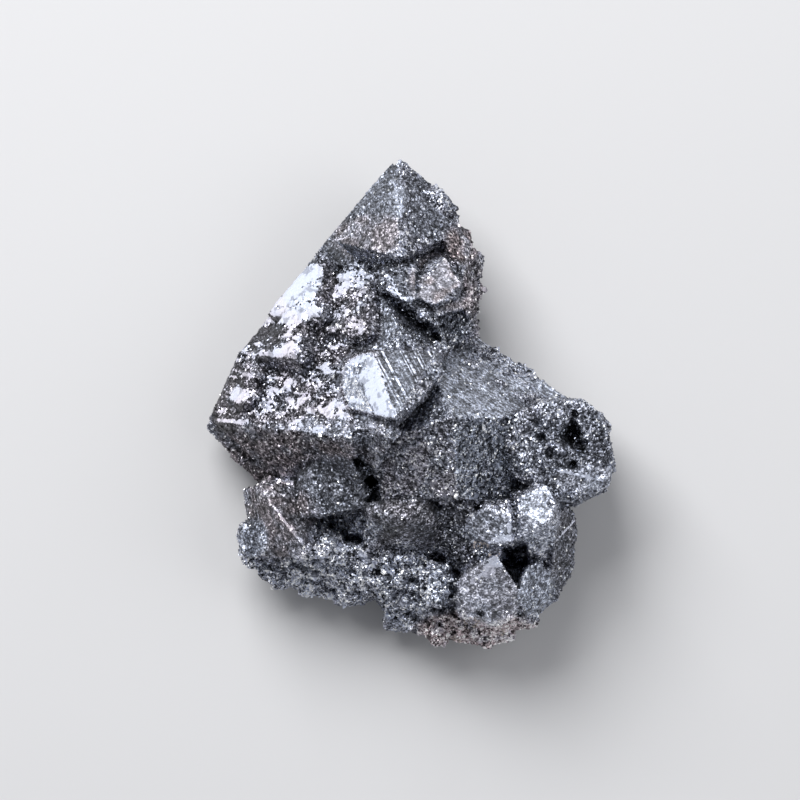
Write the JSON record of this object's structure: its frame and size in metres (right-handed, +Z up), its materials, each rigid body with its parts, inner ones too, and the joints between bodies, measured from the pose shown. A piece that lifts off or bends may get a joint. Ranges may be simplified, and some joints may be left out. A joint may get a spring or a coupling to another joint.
{
  "type": "hematite pseudomorph crystal cluster",
  "caption": "Dark metallic cluster of intergrown octahedral iron-oxide crystals with stepped shiny faces and sugary crusts, lying on its flat broken back.",
  "frame": {"origin": "on the resting plane under the middle of the cluster's bounding box", "axes": "+X to the right and +Y to the tall crystal's apex as the front is seen from above; +Z up, out of the front face"},
  "size_m": [0.0412, 0.0494, 0.03],
  "materials": {
    "hematite": "dark steel-grey metallic, sugary crystalline crust with mirror-like crystal faces"
  },
  "bodies": {
    "root": {"crystal_cluster": "hematite"}
  },
  "joints": []
}
